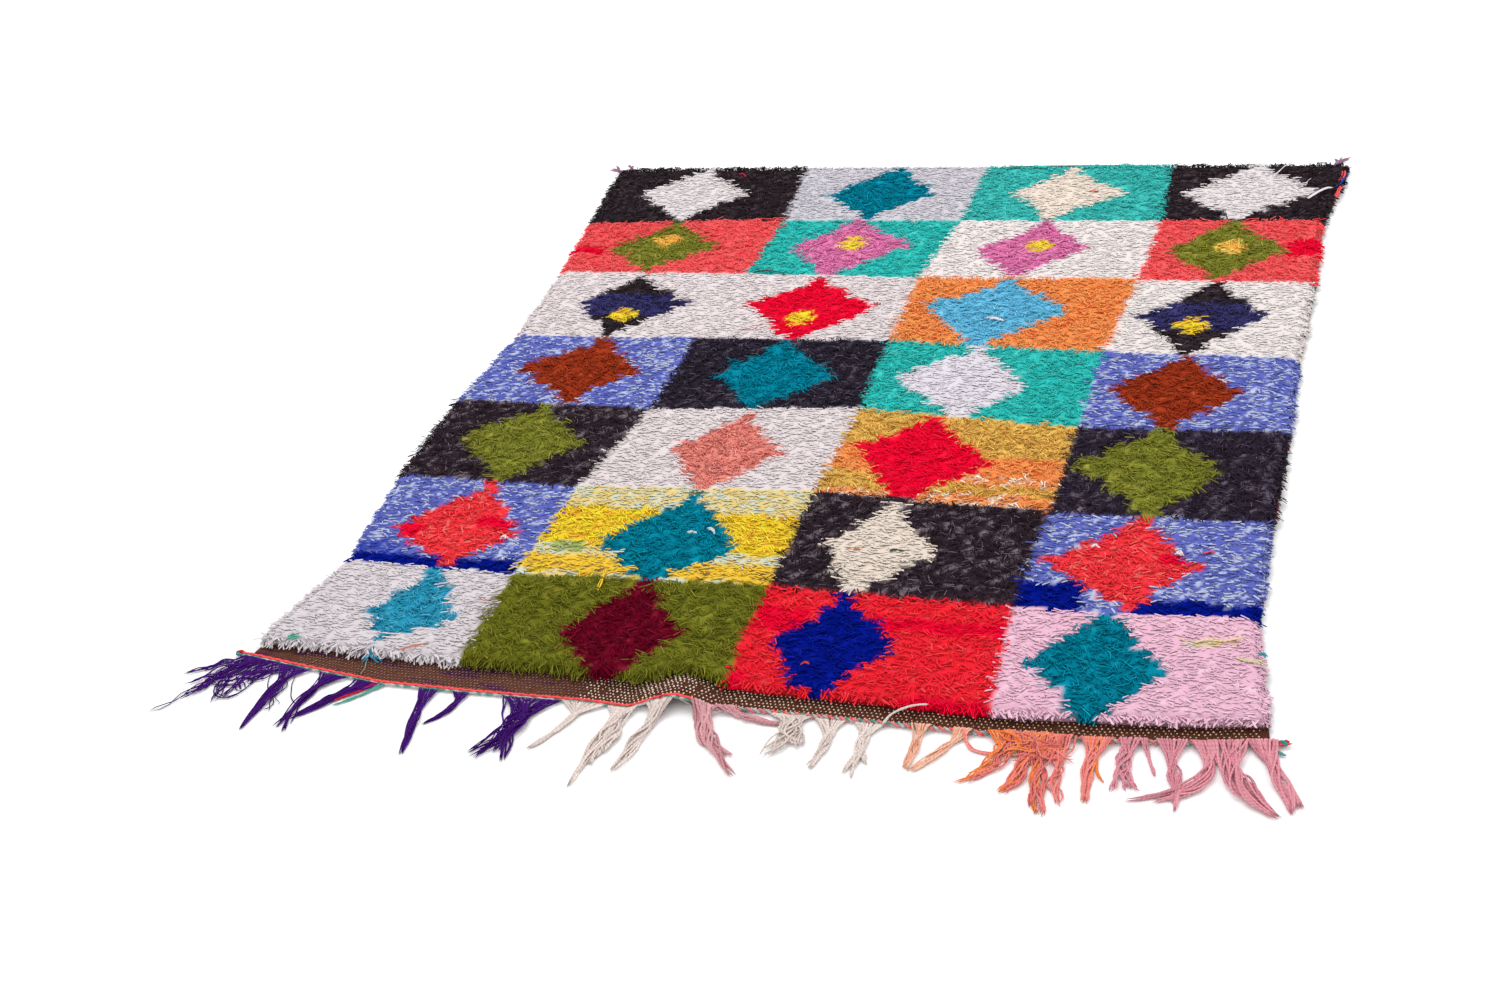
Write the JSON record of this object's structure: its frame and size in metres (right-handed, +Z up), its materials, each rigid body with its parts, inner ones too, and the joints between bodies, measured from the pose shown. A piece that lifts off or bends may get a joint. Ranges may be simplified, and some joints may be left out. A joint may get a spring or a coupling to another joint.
{
  "type": "boucherouite rug",
  "caption": "Flat shag rug of knotted yarn in coloured blocks with diamonds, a flat hem at each end, a twined edge cord and uneven tassels at one end.",
  "frame": {"origin": "on the floor, under the middle of the rug's knotted pile", "axes": "+Z up, +Y along the rug's length from the tasselled end to the plain end, +X across it"},
  "size_m": [1.6461, 1.9419, 0.0314],
  "materials": {
    "pile": "long knotted pile of wool, cotton and rag yarn in many colours",
    "edge_yarn": "thick twined yarn, coral red and grey green",
    "purple_yarn": "dusty purple twisted yarn",
    "cream_yarn": "off-white cotton yarn",
    "coral_yarn": "faded orange-pink yarn",
    "pink_yarn": "faded pink yarn",
    "tuft_yarn": "mauve yarn"
  },
  "bodies": {
    "root": {"rug_field": "pile", "edge_twining": "edge_yarn", "fringe_purple": "purple_yarn", "fringe_cream_left": "cream_yarn", "fringe_pink_middle": "pink_yarn", "fringe_cream_right": "cream_yarn", "fringe_coral": "coral_yarn", "fringe_pink_right": "pink_yarn", "corner_tuft_far_left": "tuft_yarn", "corner_tuft_far_right": "tuft_yarn"}
  },
  "joints": []
}
